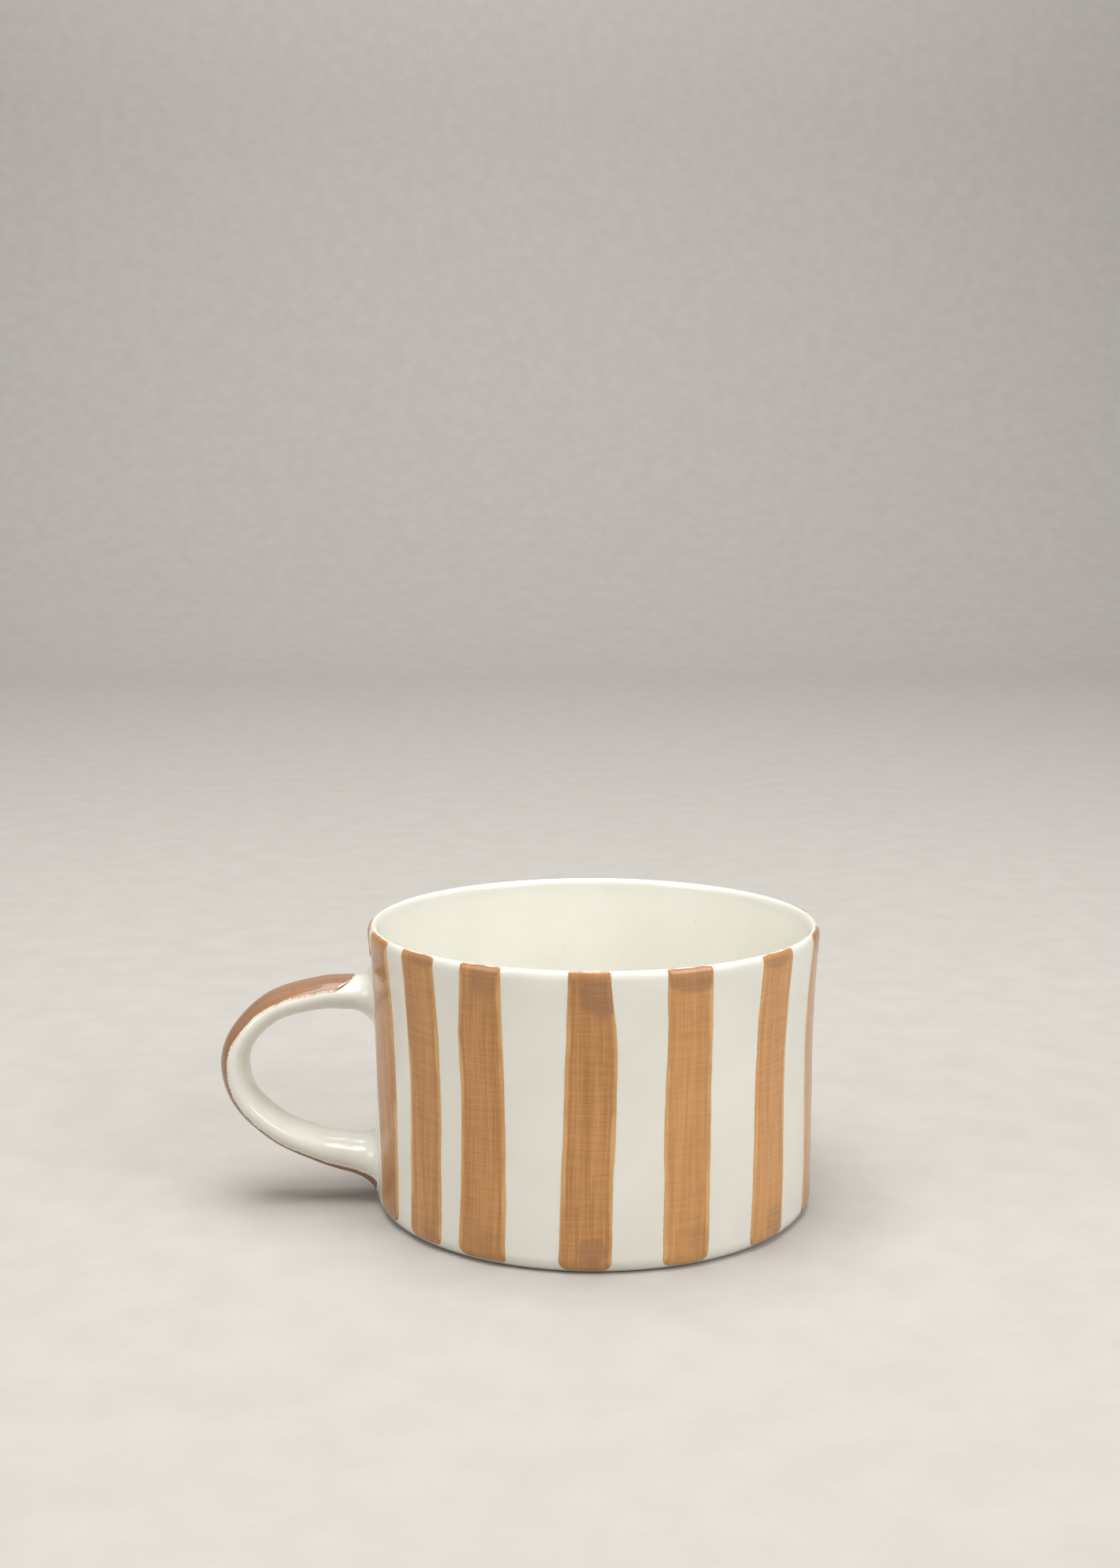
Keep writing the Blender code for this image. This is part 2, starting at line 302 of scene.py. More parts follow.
@dataclass(frozen=True)
class CreamGlaze:
    """Clear gloss glaze over cream earthenware, with sparse fine specks of iron."""

    light: Colour = (0.762, 0.744, 0.668, 1.0)
    shade: Colour = (0.726, 0.706, 0.624, 1.0)
    speck: Colour = (0.360, 0.290, 0.210, 1.0)
    cloud_scale: float = 38.0
    cloud_reach: float = 0.15
    speck_scale: float = 230.0
    speck_radius: float = 0.065
    speck_share: float = 0.035
    speck_depth: float = 0.5
    share_blur: float = 0.004
    ripple_scale: float = 75.0
    ripple_height: float = 0.012 * MM

    def material(self, name: str) -> bpy.types.Material:
        """Build the finish as a material."""
        graph = Graph(name)
        place = graph.place()
        clouds = graph.noise(place, self.cloud_scale, 3.0, 0.6)
        clay = graph.blend(graph.spread(clouds, 0.0, 1.0, self.cloud_reach), self.light, self.shade)
        clay = graph.blend(self.specks(graph, place), clay, self.speck)
        ripple = graph.noise(place, self.ripple_scale, 1.0)
        normal = graph.bump(ripple, self.ripple_height)
        graph.set_shader(
            Base_Color=clay,
            Roughness=0.42,
            Specular_IOR_Level=0.4,
            Normal=normal,
            Coat_Weight=1.0,
            Coat_Roughness=0.12,
            Coat_IOR=1.5,
            Coat_Normal=normal,
        )
        return graph.material

    def specks(self, graph: Graph, place: Socket) -> Socket:
        """1 inside a speck and 0 elsewhere; only a small share of the pattern's cells holds one."""
        cells = graph.add("ShaderNodeTexVoronoi", {"Vector": place, "Scale": self.speck_scale})
        distance, radius = cells.outputs["Distance"], self.speck_radius
        near = graph.band(distance, radius * 0.5, radius, 1.0, 0.0)
        pick = graph.add("ShaderNodeSeparateColor", {0: cells.outputs["Color"]}).outputs[0]
        past = self.speck_share + self.share_blur
        chosen = graph.band(pick, self.speck_share, past, self.speck_depth, 0.0)
        return graph.times(near, chosen)


@dataclass(frozen=True)
class BareClay:
    """The matt, unglazed clay of the foot."""

    light: Colour = (0.68, 0.63, 0.53, 1.0)
    shade: Colour = (0.58, 0.53, 0.44, 1.0)
    grain_scale: float = 900.0
    grain_height: float = 0.03 * MM

    def material(self, name: str) -> bpy.types.Material:
        """Build the finish as a material."""
        graph = Graph(name)
        grain = graph.noise(graph.place(), self.grain_scale, 4.0, 0.7)
        graph.set_shader(
            Base_Color=graph.blend(graph.spread(grain, 0.0, 1.0), self.light, self.shade),
            Roughness=0.85,
            Normal=graph.bump(grain, self.grain_height),
        )
        return graph.material


@dataclass(frozen=True)
class BrownSlip:
    """Clear gloss glaze over brushed brown slip.

    The slip is streaked along the stroke, thin and golden at its edges and dark where it pooled. It
    reads three values that each stripe's mesh stores: "brush" holds the millimetres across and
    along the stroke and a value of the stroke's own, "edge" the millimetres to the nearest edge,
    and "pool" how much slip gathered there. A stretch is how many features a pattern has to the
    millimetre, across and along the stroke.

    Attributes:
        ragged: How far, in millimetres, dry bristles leave the clay showing inside the edge.
        rim_width: Width in millimetres of the golden rim.
        tone: How light the slip is, from 0 to 1.
        wide_share: How far the broad streaks move the tone.
        fine_share: The same for the fine streaks.
        cross_share: The same for the marks across the stroke.
        rim_wander: Least and greatest distance, in millimetres, that the rim draws back.
        rim_depth: How golden the rim is where it draws back least and where it does so most.
        rim_reach: The reach of the noise that both follow.
        pool_wash: How full a pool is where the marks across the stroke are lightest and darkest.
        washed_out: Pooling at which the golden rim is all but gone, and what is left of it.
        line_depth: Least and greatest strength of the dark line inside the rim.
        hairline: Greatest width, in millimetres, of the clay that shows at a wet stroke's edge.
        streak_height: Height of the streaks' relief.
    """

    light: Colour = (0.600, 0.296, 0.104, 1.0)
    dark: Colour = (0.322, 0.132, 0.030, 1.0)
    thin: Colour = (0.660, 0.385, 0.140, 1.0)
    lined: Colour = (0.270, 0.110, 0.035, 1.0)
    pooled: Colour = (0.285, 0.145, 0.066, 1.0)
    clay: Colour = (0.760, 0.740, 0.650, 1.0)
    ragged: float = 0.0
    rim_width: float = 1.05
    tone: float = 0.5
    wide_stretch: Triple = (0.50, 0.022, 1.0)
    fine_stretch: Triple = (2.6, 0.050, 1.0)
    cross_stretch: Triple = (0.12, 1.7, 1.0)
    rim_stretch: Triple = (0.25, 0.07, 1.0)
    bristle_stretch: Triple = (0.9, 2.4, 1.0)
    wide_share: float = 0.15
    fine_share: float = 0.20
    cross_share: float = 0.13
    rim_wander: Pair = (-0.25, 0.35)
    rim_depth: Pair = (0.80, 0.35)
    rim_reach: float = 0.15
    pool_wash: Pair = (0.85, 1.1)
    washed_out: Pair = (0.55, 0.15)
    line_depth: Pair = (0.05, 0.38)
    hairline: float = 0.16
    streak_height: float = 0.02 * MM

    def material(self, name: str) -> bpy.types.Material:
        """Build the finish as a material."""
        graph = Graph(name)
        brush = graph.attribute("brush", "Vector")
        edge = graph.attribute("edge")
        wide = graph.noise(graph.stretched(brush, self.wide_stretch), 1.0, 2.0, 0.5)
        fine = graph.noise(graph.stretched(brush, self.fine_stretch), 1.0, 3.0, 0.6)
        across = graph.noise(graph.stretched(brush, self.cross_stretch), 1.0, 3.0, 0.6)
        tone = graph.spread(wide, self.tone - self.wide_share, self.tone + self.wide_share)
        tone = graph.sum(tone, graph.spread(fine, -self.fine_share, self.fine_share))
        tone = graph.sum(tone, graph.spread(across, self.cross_share, -self.cross_share))
        slip = graph.blend(tone, self.dark, self.light)
        slip = graph.blend(self.inner_line(graph, edge, wide), slip, self.lined)
        pool = graph.times(graph.attribute("pool"), graph.spread(across, *self.pool_wash))
        full, left_over = self.washed_out
        kept = graph.band(pool, 0.0, full, 1.0, left_over)
        rim = graph.times(self.rim(graph, edge, brush), kept)
        slip = graph.blend(pool, slip, self.pooled)
        slip = graph.blend(rim, slip, self.thin)
        slip = graph.blend(self.bare_edge(graph, edge, brush), slip, self.clay)
        normal = graph.bump(graph.sum(fine, graph.times(across, 0.6)), self.streak_height)
        graph.set_shader(
            Base_Color=slip,
            Roughness=0.5,
            Specular_IOR_Level=0.2,
            Normal=normal,
            Coat_Weight=0.75,
            Coat_Roughness=0.12,
            Coat_IOR=1.5,
        )
        return graph.material

    def rim(self, graph: Graph, edge: Socket, brush: Socket) -> Socket:
        """1 where the slip thins out to gold at its edge, fading in and out along the stroke."""
        slow = graph.noise(graph.stretched(brush, self.rim_stretch), 1.0, 2.0, 0.5)
        shifted = graph.sum(edge, graph.spread(slow, *self.rim_wander, self.rim_reach))
        inside = graph.band(shifted, self.rim_width * 0.55, self.rim_width * 1.25, 1.0, 0.0)
        return graph.times(inside, graph.spread(slow, *self.rim_depth, self.rim_reach))

    def inner_line(self, graph: Graph, edge: Socket, wide: Socket) -> Socket:
        """1 along a broken dark line, where the brush's outer bristles left more slip."""
        rise = graph.band(edge, self.rim_width * 0.9, self.rim_width * 1.3)
        fall = graph.band(edge, self.rim_width * 1.3, self.rim_width * 2.0, 1.0, 0.0)
        return graph.times(graph.times(rise, fall), graph.band(wide, 0.42, 0.62, *self.line_depth))

    def bare_edge(self, graph: Graph, edge: Socket, brush: Socket) -> Socket:
        """1 where the clay shows: a hairline on a wet stroke, bristle marks on a dry one."""
        bristles = graph.noise(graph.stretched(brush, self.bristle_stretch), 1.0, 5.0, 0.75)
        reach = graph.band(bristles, 0.35, 0.70, -self.ragged, 0.12)
        return graph.band(graph.sum(edge, reach), 0.02, self.hairline + 0.1 * self.ragged, 1.0, 0.0)


@dataclass(frozen=True)
class StudioPaper:
    """The plain pale paper that the mug stands on."""

    light: Colour = (0.450, 0.425, 0.390, 1.0)
    shade: Colour = (0.425, 0.400, 0.365, 1.0)
    fibre_scale: float = 60.0

    def material(self, name: str) -> bpy.types.Material:
        """Build the finish as a material."""
        graph = Graph(name)
        fibres = graph.noise(graph.place(), self.fibre_scale, 4.0, 0.6)
        colour = graph.blend(graph.spread(fibres, 0.0, 1.0), self.light, self.shade)
        graph.set_shader(Base_Color=colour, Roughness=0.7, Specular_IOR_Level=0.3)
        return graph.material


# ---------------------------------------------------------------- the cup


@dataclass(frozen=True)
class OuterWall:
    """The cup's wall: a rounded foot, an upright side that opens out near the top, and a thin lip.

    A place on its outer side is given by its travel: the height up to the lip's round, and from
    there on the height plus the way along the round.

    Attributes:
        height: The lip's crown above the table.
        rim_radius: The wall's outer radius just under the lip.
        side_radius: The radius of the upright part.
        flare_start: Height at which the wall starts to open out.
        thickness: The wall's thickness over its upright part.
        lip_thickness: Its thickness at the lip.
        lip_rise: Height of the lip's round.
        lip_arc: Length of the lip's round from the outer side to the crown.
        foot_rise: Height of the foot's round.
        foot_inset: How far the foot's round tucks in.
    """

    height: float
    rim_radius: float
    side_radius: float = 53.8 * MM
    flare_start: float = 38.0 * MM
    thickness: float = 3.2 * MM
    lip_thickness: float = 2.2 * MM
    lip_rise: float = 2.2 * MM
    lip_arc: float = 2.66 * MM
    foot_rise: float = 3.6 * MM
    foot_inset: float = 2.8 * MM

    @property
    def lip_height(self) -> float:
        """Height at which the lip's round starts."""
        return self.height - self.lip_rise

    @property
    def lip_half(self) -> float:
        """Half the lip's thickness."""
        return self.lip_thickness / 2.0

    def flare(self, height: float) -> float:
        """How far the wall has opened out at a height: 0 where it is upright and 1 at the lip."""
        run = self.lip_height - self.flare_start
        return (max(0.0, height - self.flare_start) / run) ** 2

    def radius(self, height: float) -> float:
        """The side's outer radius at a height between the foot's round and the lip's."""
        return mix(self.side_radius, self.rim_radius, self.flare(height))

    def inner_radius(self, height: float) -> float:
        """The side's inner radius at a height between the floor and the lip's round."""
        return self.radius(height) - mix(self.thickness, self.lip_thickness, self.flare(height))

    def section(self, travel: float, lift: float = 0.0) -> Pair:
        """A point of the outer surface in the plane of its axis.

        Args:
            travel: How far up the surface it lies.
            lift: How far to leave the surface along its normal.

        Returns:
            Radius and height of the lifted point.
        """
        if travel > self.lip_height:
            angle = (travel - self.lip_height) / self.lip_arc * math.pi / 2.0
            middle = (self.rim_radius - self.lip_half, self.lip_height)
            return self.round_point(middle, (self.lip_half, self.lip_rise), angle, lift)
        if travel < self.foot_rise:
            angle = -math.asin(min(1.0, (self.foot_rise - travel) / self.foot_rise))
            middle = (self.side_radius - self.foot_inset, self.foot_rise)
            return self.round_point(middle, (self.foot_inset, self.foot_rise), angle, lift)
        return self.radius(travel) + lift, travel

    def round_point(self, middle: Pair, radii: Pair, angle: float, lift: float) -> Pair:
        """A point of an elliptical round, lifted along its normal."""
        normal = Vector((math.cos(angle) * radii[1], math.sin(angle) * radii[0])).normalized()
        radius = middle[0] + radii[0] * math.cos(angle) + lift * normal.x
        return radius, middle[1] + radii[1] * math.sin(angle) + lift * normal.y

    def point(self, turn: float, travel: float, lift: float = 0.0) -> Vector:
        """The surface point at a turn in degrees and a travel, lifted along the normal."""
        radius, height = self.section(travel, lift)
        angle = math.radians(turn)
        return Vector((-radius * math.cos(angle), -radius * math.sin(angle), height))


@dataclass
class Cup:
    """The cast cup: one wall with its floor, turned about the Z axis."""

    wall: OuterWall
    floor_thickness: float = 4.5 * MM
    inner_corner: float = 7.0 * MM
    segments: int = 256
    round_steps: int = 14
    side_steps: int = 12
    merge_within: float = 0.002 * MM
    glaze: CreamGlaze = field(default_factory=CreamGlaze)
    foot: BareClay = field(default_factory=BareClay)

    def arc(self, centre: Pair, radii: Pair, start: float, end: float) -> list[Pair]:
        """Points (radius, height) along an elliptical arc between two angles in degrees."""
        points = []
        for step in range(self.round_steps + 1):
            angle = math.radians(mix(start, end, step / self.round_steps))
            radius = centre[0] + radii[0] * math.cos(angle)
            points.append((radius, centre[1] + radii[1] * math.sin(angle)))
        return points

    def side_heights(self) -> list[float]:
        """Heights from the flare's start to just under the lip's round."""
        low, high = self.wall.flare_start, self.wall.lip_height
        return [mix(low, high, step / self.side_steps) for step in range(self.side_steps)]

    def profile(self) -> list[Pair]:
        """The outline from the floor's middle, over the lip, to the foot's middle."""
        wall = self.wall
        lip = (wall.rim_radius - wall.lip_half, wall.lip_height)
        inner_radius = wall.side_radius - wall.thickness
        corner = (inner_radius - self.inner_corner, self.floor_thickness + self.inner_corner)
        foot = (wall.side_radius - wall.foot_inset, wall.foot_rise)
        points = [(0.0, self.floor_thickness), (corner[0] * 0.5, self.floor_thickness)]
        points += self.arc(corner, (self.inner_corner, self.inner_corner), -90, 0)
        points += [(wall.inner_radius(height), height) for height in self.side_heights()]
        points += self.arc(lip, (wall.lip_half, wall.lip_rise), 180, 0)
        points += [(wall.radius(height), height) for height in reversed(self.side_heights())]
        points += self.arc(foot, (wall.foot_inset, wall.foot_rise), 0, -90)
        return points + [(foot[0] * 0.5, 0.0), (0.0, 0.0)]

    def build(self) -> bpy.types.Object:
        """Draw the outline edge by edge, spin it round and dress it."""
        bpy.ops.object.select_all(action="DESELECT")
        bpy.ops.mesh.primitive_plane_add(size=MM)
        cup = named("cup_body_glazed")
        outline = self.profile()
        with editing(cup):
            bpy.ops.mesh.select_all(action="SELECT")
            bpy.ops.mesh.merge(type="CENTER")
            bpy.ops.transform.translate(value=(outline[0][0], 0.0, outline[0][1]))
            for before, after in zip(outline, outline[1:]):
                step = (after[0] - before[0], 0.0, after[1] - before[1])
                bpy.ops.mesh.extrude_vertices_move(TRANSFORM_OT_translate={"value": step})
            bpy.ops.mesh.select_all(action="SELECT")
            bpy.ops.mesh.spin(
                steps=self.segments, angle=FULL_TURN, center=(0.0, 0.0, 0.0), axis=(0.0, 0.0, 1.0)
            )
            bpy.ops.mesh.select_all(action="SELECT")
            bpy.ops.mesh.remove_doubles(threshold=self.merge_within)
            bpy.ops.mesh.normals_make_consistent(inside=False)
        shade(cup)
        cup.data.materials.append(self.glaze.material("cup glaze"))
        cup.data.materials.append(self.foot.material("bare foot"))
        for face in cup.data.polygons:
            flat_down = face.normal.z < -0.999 and face.center.z < 0.01 * MM
            face.material_index = 1 if flat_down else 0
        return hand_over(cup, Slot.CREAM, "cup_body")


# ---------------------------------------------------------------- the handle


@dataclass(frozen=True)
class Station:
    """One cross-section of the handle.

    Attributes:
        centre: The middle of the section.
        outward: Unit direction from the finger gap towards the handle's back.
        back: Half-thickness towards the back.
        front: Half-thickness towards the finger gap.
        side: Half-width along Y.
        hug: 0 where the section is flat, 1 where it lies on the cup's curved wall.
        stand_off: Distance from the wall that a hugging section keeps.
    """

    centre: Vector
    outward: Vector
    back: float
    front: float
    side: float
    hug: float
    stand_off: float

    def point(self, angle: float, wall: OuterWall) -> Vector:
        """The point of the section at an angle; 0 is the crown of the handle's back."""
        half = self.back if math.cos(angle) > 0 else self.front
        spot = self.centre + self.outward * half * math.cos(angle)
        spot += Vector((0.0, self.side * math.sin(angle), 0.0))
        if self.hug > 0.0:
            radius = wall.section(max(spot.z, 0.5 * MM))[0] + self.stand_off
            on_wall = -math.sqrt(max(radius**2 - spot.y**2, 0.0))
            spot.x = mix(spot.x, on_wall, self.hug)
        return spot


@dataclass(frozen=True)
class Root:
    """How one end of the handle is drawn out over the wall.

    Attributes:
        height: Height of the root's centre on the wall.
        back: How far the clay is drawn out on the side of the handle's back.
        front: The same towards the finger gap.
        side: The same to each side.
    """

    height: float
    back: float
    front: float
    side: float


@dataclass
class Handle:
    """The loop handle with its two roots, one smooth piece of glazed clay."""

    wall: OuterWall
    path: tuple[Pair, ...] = tuple(
        (reach * MM, height * MM)
        for reach, height in (
            (59.5, 52.2),
            (67.0, 52.0),
            (78.3, 48.9),
            (85.8, 41.9),
            (88.0, 34.5),
            (85.3, 25.8),
            (77.2, 18.2),
            (67.5, 13.8),
            (61.0, 12.0),
        )
    )
    half_width: float = 7.0 * MM
    half_thickness: tuple[float, ...] = tuple(
        half * MM for half in (4.05, 3.65, 3.3, 3.45, 3.3, 3.75, 4.6)
    )
    upper: Root = Root(51.6 * MM, 4.7 * MM, 5.0 * MM, 3.4 * MM)
    lower: Root = Root(10.4 * MM, 4.9 * MM, 3.6 * MM, 3.4 * MM)
    steps_per_span: int = 9
    root_steps: int = 14
    sides: int = 64
    buried: float = 0.12 * MM
    glaze: CreamGlaze = field(default_factory=CreamGlaze)

    def __post_init__(self) -> None:
        """Work out the sections once."""
        loop = self.loop_stations()
        self.stations = self.root_stations(loop[0], self.upper)[::-1] + loop
        self.stations += self.root_stations(loop[-1], self.lower)

    def centre_line(self) -> list[Vector]:
        """A smooth line through the path's points, from the upper end to the lower."""
        points = [Vector((-reach, 0.0, height)) for reach, height in self.path]
        slopes = [points[1] - points[0]]
        slopes += [(after - before) / 2.0 for before, after in zip(points, points[2:])]
        slopes += [points[-1] - points[-2]]
        line = points[:1]
        for index in range(len(points) - 1):
            start, end = points[index], points[index + 1]
            first, last = start + slopes[index] / 3.0, end - slopes[index + 1] / 3.0
            line += interpolate_bezier(start, first, last, end, self.steps_per_span + 1)[1:]
        return line

    def loop_stations(self) -> list[Station]:
        """The sections of the free loop."""
        line = self.centre_line()
        stations = []
        for index, centre in enumerate(line):
            ahead = line[min(index + 1, len(line) - 1)] - line[max(index - 1, 0)]
            outward = Vector((0.0, 1.0, 0.0)).cross(ahead).normalized()
            half = along_curve(self.half_thickness, index / (len(line) - 1))
            stations.append(Station(centre, outward, half, half, self.half_width, 0.0, 0.0))
        return stations

    def root_stations(self, end: Station, root: Root) -> list[Station]:
        """The sections from one end of the loop to the wall, drawn out in a quarter round."""
        wall_x = -self.wall.section(root.height)[0]
        target = Vector((wall_x, 0.0, root.height))
        upright = Vector((0.0, 0.0, math.copysign(1.0, end.outward.z)))
        gap = wall_x - end.centre.x
        stations = []
        for step in range(1, self.root_steps + 1):
            angle = math.pi / 2 * step / self.root_steps
            travel = math.sin(angle)
            drawn = 1.0 - math.cos(angle)
            stations.append(
                Station(
                    end.centre.lerp(target, travel),
                    end.outward.lerp(upright, travel).normalized(),
                    end.back + root.back * drawn,
                    end.front + root.front * drawn,
                    end.side + root.side * drawn,
                    smooth_step(0.0, 1.0, travel),
                    gap * (1.0 - travel) - self.buried * drawn**4,
                )
            )
        return stations

    def build(self) -> bpy.types.Object:
        """Lay the rings of a straight capped cylinder on the sections and dress the piece."""
        bpy.ops.object.select_all(action="DESELECT")
        bpy.ops.mesh.primitive_cylinder_add(
            vertices=self.sides, radius=1.0, depth=2.0, end_fill_type="NGON"
        )
        handle = named("handle_with_roots")
        last = len(self.stations) - 1
        with editing(handle) as mesh:
            work = bmesh.from_edit_mesh(mesh)
            for edge in work.edges:
                edge.select_set(abs(edge.verts[0].co.z - edge.verts[1].co.z) > 1.0)
            bmesh.update_edit_mesh(mesh)
            bpy.ops.mesh.subdivide(number_cuts=last - 1)
        for vertex in handle.data.vertices:
            station = self.stations[round((1.0 - vertex.co.z) / 2.0 * last)]
            vertex.co = station.point(math.atan2(vertex.co.y, vertex.co.x), self.wall)
        with editing(handle):
            bpy.ops.mesh.select_all(action="SELECT")
            bpy.ops.mesh.normals_make_consistent(inside=False)
        shade(handle)
        handle.data.materials.append(self.glaze.material("handle glaze"))
        return hand_over(handle, Slot.CREAM, "handle", "upper_slip_joint", "lower_slip_joint")

    def crown_lengths(self) -> list[float]:
        """Distance along the handle's back of each section, from the upper root."""
        lengths = [0.0]
        for first, second in zip(self.stations, self.stations[1:]):
            step = second.point(0.0, self.wall) - first.point(0.0, self.wall)
            lengths.append(lengths[-1] + step.length)
        return lengths

    def between(self, place: float) -> tuple[Station, Station, float]:
        """The sections before and after a place, and how far it lies from the one to the other."""
        index = min(int(place), len(self.stations) - 2)
        return self.stations[index], self.stations[index + 1], place - index

    def arc_length(self, place: float, angle: float, steps: int = 16) -> float:
        """Length round the section at a place, from the back's crown to an angle in degrees."""
        first, second, share = self.between(place)
        side, back = mix(first.side, second.side, share), mix(first.back, second.back, share)
        step = math.radians(angle) / steps
        turns = [(number + 0.5) * step for number in range(steps)]
        return sum(
            math.hypot(side * math.cos(turn), back * math.sin(turn)) * step for turn in turns
        )

    def back_point(self, place: float, angle: float, lift: float) -> Vector:
        """A point over the handle's back.

        Args:
            place: Number of the section, fractions included.
            angle: Degrees round the section from the back's crown.
            lift: Height over the clay.

        Returns:
            The lifted point.
        """
        first, second, share = self.between(place)
        middle = math.radians(angle)
        nearby = 0.02
        spots = []
        for turn in (middle - nearby, middle, middle + nearby):
            spots.append(first.point(turn, self.wall).lerp(second.point(turn, self.wall), share))
        ahead = second.point(middle, self.wall) - first.point(middle, self.wall)
        normal = (spots[2] - spots[0]).cross(ahead).normalized()
        if normal.dot(first.outward) < 0.0:
            normal = -normal
        return spots[1] + normal * lift


# ---------------------------------------------------------------- the stripes


@dataclass(frozen=True)
class Pool:
    """A place where the slip gathered as the brush was set down or lifted.

    Attributes:
        across: Its middle from the stroke's middle line, from -1 at one edge to 1 at the other.
        travel: Its middle's distance up the wall, in millimetres.
        reach: Half its size across and along the stroke, in millimetres.
        depth: How dark it is, from 0 to 1.
        tilt: Degrees it leans, its upper end to the right.
        soft: Share of its size over which it fades out.
        waviness: Sizes of the outline's slow and quick waves.
        outside: Where it has faded out, as a share of its size.
    """

    across: float
    travel: float
    reach: Pair
    depth: float
    tilt: float = 0.0
    soft: float = 0.45
    waviness: Pair = (0.05, 0.03)
    outside: float = 1.1

    def at(self, across: float, half_width: float, travel: float) -> float:
        """The pool's depth at a place of the stroke."""
        right = (across - self.across) * half_width
        up = travel - self.travel
        lean = math.radians(self.tilt)
        right, up = (
            right * math.cos(lean) - up * math.sin(lean),
            right * math.sin(lean) + up * math.cos(lean),
        )
        right, up = right / self.reach[0], up / self.reach[1]
        angle = math.atan2(up, right)
        wavy = 1.0 + self.waviness[0] * math.sin(2.0 * angle + self.travel)
        wavy += self.waviness[1] * math.sin(5.0 * angle + self.travel)
        away = math.hypot(right, up) * wavy
        return self.depth * smooth_step(self.outside, self.outside - self.soft, away)


@dataclass(frozen=True)
class BrushMark:
    """What one brushed stripe on the wall looks like.

    Attributes:
        left: Turn of its left edge, seen from outside, at five heights from the lip to the foot.
        right: The same for its right edge.
        low: Height of its lower end, in millimetres.
        low_corners: Radii of its lower corners, left and right, in millimetres.
        over_lip: How far it goes over the lip's round, from 0 at the side to 1 at the crown.
        tone: How light its slip is, from 0 to 1.
        pools: Where its slip gathered.
    """

    left: tuple[float, ...]
    right: tuple[float, ...]
    low: float = 1.6
    low_corners: Pair = (2.6, 2.4)
    over_lip: float = 0.86
    tone: float = 0.5
    pools: tuple[Pool, ...] = ()

    @staticmethod
    def behind(turn: float, seed: int) -> BrushMark:
        """A stripe of the unseen side, with its own small departures from upright."""
        chance = random.Random(seed)
        lean = chance.uniform(-0.9, 0.9)
        half_turn, unevenness = 6.0, 0.45
        left, right = [], []
        for row in range(5):
            middle = turn + lean * (2 - row) / 2
            left.append(middle - half_turn + chance.uniform(-unevenness, unevenness))
            right.append(middle + half_turn + chance.uniform(-unevenness, unevenness))
        corners = (chance.uniform(2.0, 3.0), chance.uniform(2.0, 3.0))
        top = Pool(
            chance.uniform(-0.3, 0.3), 67.5, (chance.uniform(4, 6), chance.uniform(3, 6)), 0.6
        )
        foot = Pool(
            chance.uniform(-0.4, 0.4), 4.5, (chance.uniform(3, 5), chance.uniform(2, 4)), 0.45
        )
        tone = chance.uniform(0.42, 0.62)
        low = chance.uniform(1.0, 1.8)
        over_lip = 0.74
        return BrushMark(tuple(left), tuple(right), low, corners, over_lip, tone, (top, foot))


def corner_trim(gap: float, corner: float) -> float:
    """How far, in millimetres, a rounded corner cuts in at a distance from the end."""
    short = corner - min(corner, max(0.0, gap))
    return corner - math.sqrt(corner**2 - short**2)


class Stroke:
    """A coat of slip laid on with one pull of a brush: what stripes on the wall and handle share.

    Attributes:
        pool_rise: Share of the slip's thickness that a full pool adds.
        apart: How far the patterns of neighbouring strokes lie apart.
        crowding: How much the sheet's points crowd to its edges, across and along.
    """

    pool_rise: float = 0.25
    apart: float = 3.7
    crowding: Pair = (0.8, 0.4)
    name: str
    node: str
    number: int
    columns: int
    rows: int
    thickness: float
    round_width: float
    sunk: float
    backing: float
    slip: BrownSlip

    def spot(self, across: float, along: float) -> Spot:
        """Where a point of the flat sheet goes.

        Args:
            across: From -1 at the left edge to 1 at the right.
            along: From 0 at the lower end to 1 at the upper.

        Returns:
            Its position, its brush value, its distance to the edge in millimetres and its pooling.
        """
        raise NotImplementedError

    def relief(self, edge: float, pool: float) -> float:
        """Height of the slip over the clay, rounded off towards its edge.

        Args:
            edge: Distance to the nearest edge, in millimetres.
            pool: How much slip gathered there.

        Returns:
            The height in metres; just under the clay at the very edge.
        """
        inside = min(1.0, max(0.0, edge / self.round_width))
        rise = math.sqrt(1.0 - (1.0 - inside) ** 2)
        return self.thickness * (rise + self.pool_rise * pool * inside) - self.sunk * (1.0 - rise)

    def build(self) -> bpy.types.Object:
        """Lay a subdivided sheet on the clay, give it the slip's thickness and dress it."""
        bpy.ops.object.select_all(action="DESELECT")
        bpy.ops.mesh.primitive_grid_add(
            x_subdivisions=self.columns, y_subdivisions=self.rows, size=2.0
        )
        sheet = named(self.name)
        mesh = sheet.data
        for title, kind in (("brush", "FLOAT_VECTOR"), ("edge", "FLOAT"), ("pool", "FLOAT")):
            mesh.attributes.new(title, kind, "POINT")
        stored = mesh.attributes
        for index, vertex in enumerate(mesh.vertices):
            across = 2.0 * denser_ends((vertex.co.x + 1.0) / 2.0, self.crowding[0]) - 1.0
            along = denser_ends((vertex.co.y + 1.0) / 2.0, self.crowding[1])
            place, brush, edge, pool = self.spot(across, along)
            vertex.co = place
            stored["brush"].data[index].vector = brush
            stored["edge"].data[index].value = edge
            stored["pool"].data[index].value = pool
        backing = sheet.modifiers.new("Backing", "SOLIDIFY")
        backing.thickness = self.backing
        backing.offset = -1.0
        apply_modifiers(sheet)
        shade(sheet)
        sheet.data.materials.append(self.slip.material(self.name.replace("_", " ") + " slip"))
        return hand_over(sheet, Slot.BROWN, self.node)


